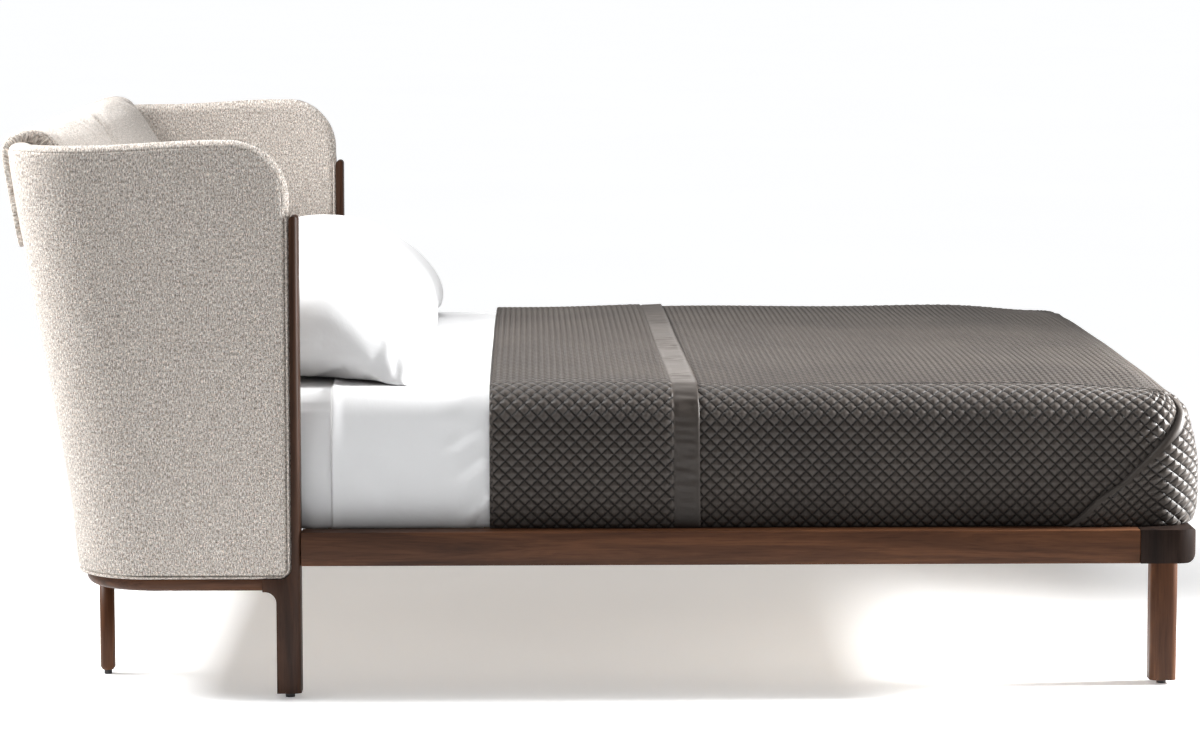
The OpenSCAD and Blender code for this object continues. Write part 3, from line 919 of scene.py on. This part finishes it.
# Soft folds in a cover's side: (u, s) of both ends, height and half width
SHEET_FOLDS = ((283, 150, 340, 112, 4.5, 10), (305, 205, 366, 160, 5.0, 12), (322, 290, 368, 236, 7.0, 14),
               (298, 345, 330, 262, 4.0, 15), (66, 318, 92, 344, 4.5, 8), (120, 180, 168, 260, 2.5, 22))
FITTED_FOLDS = ((8, 292, 36, 338, 5.0, 8), (24, 300, 52, 344, 4.0, 7), (2, 240, 30, 300, 2.5, 12))


def slack_fold(u, s, u0, s0, u1, s1, height, width):
    """A soft ridge along a line, fading out at both of its ends."""
    length = math.hypot(u1 - u0, s1 - s0)
    along = ((u - u0) * (u1 - u0) + (s - s0) * (s1 - s0)) / length
    off = ((u - u0) * (s1 - s0) - (s - s0) * (u1 - u0)) / length
    ends = smooth(along, -0.3 * length, 0.3 * length) * (1 - smooth(along, 0.7 * length, 1.3 * length))
    return height * ends * (np.exp(-(off / width) ** 2) - 0.5 * np.exp(-((off + 1.9 * width) / width) ** 2))


def white_cover(name, head_x, grow, seed, closed, materials, key="cotton"):
    """A sheet over the mattress; a closed one wraps the head end too, an open one has a hem there."""
    step = 7.0
    first = head_x + np.array([0.0, 0.4, 1.2, 2.4, 4.0, 6.0, 8.5, 11.5, 15.0])
    start = head_x + 20
    round_bed = np.concatenate([first, steps(start, ROUND - start, step), ROUND - first[::-1]])
    u, s = crossed(round_bed, steps(0, DROP, step))
    lines = ripple(u + 0.7 * s, s * 0.6, seed, 90, stretch=(1.0, 2.2))
    folds = ripple(u - 0.5 * s, s, seed + 1, 230)
    extra = (1.1 if closed else 1.5) * (lines * 0.7 + folds) * smooth(s, 20, 110)
    from_hem = corner_u(u) - head_x
    if closed:
        extra = extra - 3.2 * np.exp(-((s - 62) / 4) ** 2)
    else:
        extra = extra + 4.5 * smooth(from_hem, 0, 4) * np.exp(-from_hem / 45) * smooth(s, 50, 120)
    for run in (u, ROUND - u):
        extra = extra + sum(slack_fold(run, s, *fold) for fold in (FITTED_FOLDS if closed else SHEET_FOLDS))
    seen = 1 - smooth(corner_u(u), FOLD_X + 5, FOLD_X + 70)
    side = side_point(u, s, grow, extra * seen + hem_rise(from_hem, closed))
    x, y = crossed(np.concatenate([first, steps(start, FOOT_X, step)]), steps(-HALF, HALF, step))
    away = smooth(HALF - np.abs(y), 0, 80) * (1 - smooth(x, FOLD_X + 5, FOLD_X + 70))
    rumple = 1.5 * ripple(x, y, seed + 2, 150) + 0.8 * ripple(x, y, seed + 3, 60)
    top = top_point(x, y, grow, rumple * away + hem_rise(x - head_x, closed))
    grids = [(side, stack(u, s), False), (top, stack(x, y), True)]
    if closed:
        grids += head_end(head_x, grow, step)
    points, uvs, faces = join_grids(grids)
    return merge(build(name, points, np.concatenate(faces), [materials[key]], uvs))


def hem_rise(distance, closed):
    """Height of the turned and stitched edge of an open sheet, which dips to meet what it lies on."""
    if closed:
        return 0 * distance
    edge = np.sqrt(np.clip(1 - (1 - np.clip(distance / 3.5, 0, 1)) ** 2, 0, 1))
    return -3.4 + 5.6 * edge - 2.2 * smooth(distance, 5, 24)


def head_end(head_x, grow, step):
    """The two head corners and the head drop of a cover."""
    s = steps(0, DROP, step)
    out, up, _ = drop_curve(grow, s)
    fade = 1 - smooth(s, 0, EDGE_R * math.pi / 2)
    grids = []
    for sign in (-1, 1):
        a = np.linspace(0, math.pi / 2, 12)[:, None]
        x = head_x - np.sin(a) * (EDGE_R + out)
        y = sign * (HALF + np.cos(a) * (EDGE_R + out))
        grids.append((stack(x, y, up + crown(head_x, sign * HALF) * fade), stack(a * EDGE_R, s), sign < 0))
    y, w = crossed(steps(-HALF, HALF, step), s)
    drop = stack(head_x - EDGE_R - out, y, up + crown(head_x, y) * fade)
    return grids + [(drop, stack(y, w), False)]


def build_underside(materials):
    """The flat base of the mattress, inside its covers."""
    half, head, foot = MATTRESS_HALF - 6, HEAD_X - 52, FOOT_X + 52
    x, y = crossed(steps(head, foot, 60), steps(-half, half, 60))
    points, uvs, faces = join_grids([(stack(x, y, LOW_Z + 5.0), stack(x, y), False)])
    return build("mattress_underside", points, np.concatenate(faces), [materials["ticking"]], uvs)


def make_bedding(materials):
    mattress = white_cover("mattress_body", HEAD_X, 0.0, 81, True, materials, "ticking")
    under = build_underside(materials)
    fitted = white_cover("fitted_cover", HEAD_X, FITTED, 84, True, materials)
    sheet = white_cover("top_cover", SHEET_X, SHEET, 91, False, materials)
    quilt_piece = coverlet(materials)
    stands_for(mattress, "mattress", "mattress_set")
    stands_for(fitted, "fitted_sheet", "mattress_set")
    stands_for(sheet, "top_sheet", "mattress_set")
    stands_for(quilt_piece, "coverlet", "mattress_set")
    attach(under, "mattress_set")


# ---------------------------------------------------------------- pillows

# Middle section of a pillow lying on the bed, round from its rear seam over the top to the front seam
PILLOW_TOP = [(-268, 668), (-262, 702), (-235, 742), (-190, 778), (-130, 803), (-70, 814), (-10, 816),
              (45, 806), (100, 776), (148, 743), (188, 707), (216, 671), (232, 640), (240, 622)]
PILLOW_LOW = [(-268, 668), (-264, 640), (-240, 616), (-190, 603), (-130, 600), (-70, 599.5), (-10, 599.5),
              (45, 599.5), (100, 599.5), (148, 600), (188, 601), (216, 604), (232, 611), (240, 622)]
PILLOW_HALF = 412.0
PILLOW_DEEP = 260.0
PILLOW_Y = 430.0
BED_TOP = 599.0


def corner_folds(a, b, seed):
    """Folds that spread from the four corners of a pillow."""
    total = np.zeros(a.shape)
    for number, (end, front) in enumerate(((-1, -1), (-1, 1), (1, -1), (1, 1))):
        run, rise = (1 - end * a) * PILLOW_HALF, (1 - front * b) * PILLOW_DEEP
        distance = np.hypot(run, rise)
        turn = np.arctan2(rise, run)
        total += np.sin(9 * turn + seed + 2 * number) * np.exp(-distance / 95) * smooth(distance, 8, 50)
    return total


def pillow(side, sign, seed, shift, materials):
    """A plump pillow: two faces sewn at a seam, with round ends and drawn-out corners, blown up as cloth."""
    rows, columns = 69, 49
    even = np.linspace(-1, 1, rows)
    top, _ = resample(np.array(PILLOW_TOP, dtype=float), columns)
    low, _ = resample(np.array(PILLOW_LOW, dtype=float), columns)
    a, index = crossed(even * (1 + 0.12 * (1 - even ** 2)), np.arange(columns))
    b = 2 * index / (columns - 1) - 1
    full = (1 - np.abs(a) ** 4.2) ** 0.5
    pinch = 1 - 0.05 * (1 - b ** 2) * np.abs(a) ** 6
    y = sign * PILLOW_Y + a * PILLOW_HALF * pinch
    middle = (top + low) / 2
    seam = middle[:, 1][index] - 34 * np.abs(a) ** 5 - 8 * np.abs(a) ** 8 * smooth(b, 0.2, 1.0)
    body = smooth(full, 0.0, 0.6) * (1 - np.abs(b) ** 6)
    grids = []
    for curve, face, flip in ((top, 1, False), (low, -1, True)):
        offset = curve - middle
        waves = 5 * ripple(a * 360, b * 250, seed + face, 170)
        waves = waves + 1.6 * ripple(a * 360, b * 250, seed + 5 + face, 70)
        x = middle[:, 0][index] + offset[:, 0][index] * full
        x = x * (1 - 0.13 * np.abs(a) ** 8 * b ** 2)
        z = seam + offset[:, 1][index] * full + face * waves * body + 4.5 * corner_folds(a, b, seed)
        uv = stack(a * 360 + 2000 * face, b * 300)
        grids.append((stack(x + shift, y, np.maximum(z, BED_TOP)), uv, flip))
    points, uvs, faces = join_grids(grids)
    piece = merge(build(f"bed_pillow_{side}", points, np.concatenate(faces), [materials["cotton"]], uvs), 0.3)
    height = np.array([v.co[2] for v in piece.data.vertices]) * 1000
    inflate(piece, 1 - smooth(height, BED_TOP + 4, BED_TOP + 14), 4.0, 0.05, 26)
    for vertex in piece.data.vertices:
        vertex.co[2] = max(vertex.co[2], (BED_TOP + 0.5) / 1000)
    subdivide(piece)
    return piece


def make_pillows(materials):
    for (side, sign), seed, shift in zip(SIDES, (101, 121), (0.0, 6.0)):
        piece = pillow(side, sign, seed, shift, materials)
        stands_for(piece, "pillow_" + side, "pillow_" + side)


# ---------------------------------------------------------------- frame

def finish_wood(name, material, bevel):
    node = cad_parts[name]
    node.data.materials.clear()
    node.data.materials.append(material)
    weld = node.modifiers.new("weld", "WELD")
    weld.merge_threshold = 0.00002
    if bevel:
        edge = node.modifiers.new("bevel", "BEVEL")
        edge.width = bevel / 1000
        edge.segments = 3
        edge.limit_method = "ANGLE"
        edge.angle_limit = math.radians(35)
        edge.harden_normals = True
    node.data.polygons.foreach_set("use_smooth", [True] * len(node.data.polygons))


# Name, material and bevel in millimetres of each wooden or plastic piece; the first list has two of each
PAIRED = (("headboard_post_", "post", 1.5), ("wing_base_rail_", "walnut_x", 1.5),
          ("side_rail_", "walnut_x", 2.5), ("rear_leg_", "walnut_z", 0), ("foot_leg_", "walnut_z", 1.0),
          ("foot_corner_", "endgrain", 3.0), ("slat_ledge_", "pine", 1.0), ("wing_core_", "plywood", 0),
          ("post_glide_", "plastic", 0.6), ("rear_glide_", "plastic", 0.6), ("foot_glide_", "plastic", 0.6))
SINGLE = (("headboard_base_rail", "walnut_y", 1.5), ("foot_rail", "walnut_y", 2.5), ("slats", "pine", 1.0),
          ("head_cross_rail", "pine", 1.0), ("centre_beam", "pine", 1.0), ("headboard_core", "plywood", 0))


def make_wood(materials):
    both = [(stem + side, key, bevel) for side, _ in SIDES for stem, key, bevel in PAIRED]
    for name, key, bevel in both + list(SINGLE):
        finish_wood(name, materials[key], bevel)


# ---------------------------------------------------------------- studio

# Name, place, target, size (all in metres), power in watts and spread in degrees
LIGHTS = (
    ("overhead", (-0.3, -0.1, 2.9), (-0.3, 0.1, 0), (3.4, 1.9), 10, 180),
    ("rear", (-2.65, -0.25, 2.45), (-0.8, -0.2, 1.1), (1.3, 1.4), 36, 64),
    ("foot", (3.5, -0.64, 1.5), (1.2, -0.64, 0.62), (0.6, 0.6), 30, 42),
    ("far_wing", (-0.15, -0.6, 2.4), (-0.3, 0.9, 0.95), (0.6, 0.5), 2.1, 55),
)


def make_studio():
    scene = bpy.context.scene
    scene.view_settings.view_transform = "Standard"
    world = bpy.data.worlds.new("studio")
    scene.world = world
    world.use_nodes = True
    sky = world.node_tree.nodes["Background"].inputs
    sky["Color"].default_value = (1, 1, 1, 1)
    sky["Strength"].default_value = 0.20
    floor = Nodes("floor", Roughness=0.9, Specular_IOR_Level=0.0, Emission_Strength=0.322)
    floor.shader.inputs["Emission Color"].default_value = (1, 1, 1, 1)
    cloud = floor.noise(floor.coords((0.6, 0.6, 0.6)), detail=1)
    floor.to_shader("Base Color", floor.ramp(cloud, [(0.3, (0.95, 0.96, 0.97)), (0.7, (0.96, 0.97, 0.98))]))
    bpy.ops.mesh.primitive_plane_add(size=400, location=(0, 0, 0))
    ground = bpy.context.object
    ground.name = "floor"
    ground.data.materials.append(floor.material)
    for name, place, target, size, power, spread in LIGHTS:
        data = bpy.data.lights.new(name, "AREA")
        data.shape = "RECTANGLE"
        data.size, data.size_y = size
        data.energy = power
        data.spread = math.radians(spread)
        aim = (Vector(target) - Vector(place)).to_track_quat("-Z", "Y").to_euler()
        add_lamp(name, data, place, aim)
    data = bpy.data.lights.new("fill", "SUN")
    data.energy = 1.76
    data.angle = math.radians(70)
    add_lamp("fill", data, (0, 0, 0), (math.radians(-16), math.radians(-22), 0))


def add_lamp(name, data, place, turn):
    lamp = bpy.data.objects.new(name, data)
    lamp.location = place
    lamp.rotation_euler = turn
    bpy.context.collection.objects.link(lamp)


def main():
    make_camera()
    make_studio()
    materials = make_materials()
    make_wood(materials)
    make_shell(materials)
    make_cushions(materials)
    make_bedding(materials)
    make_pillows(materials)


main()
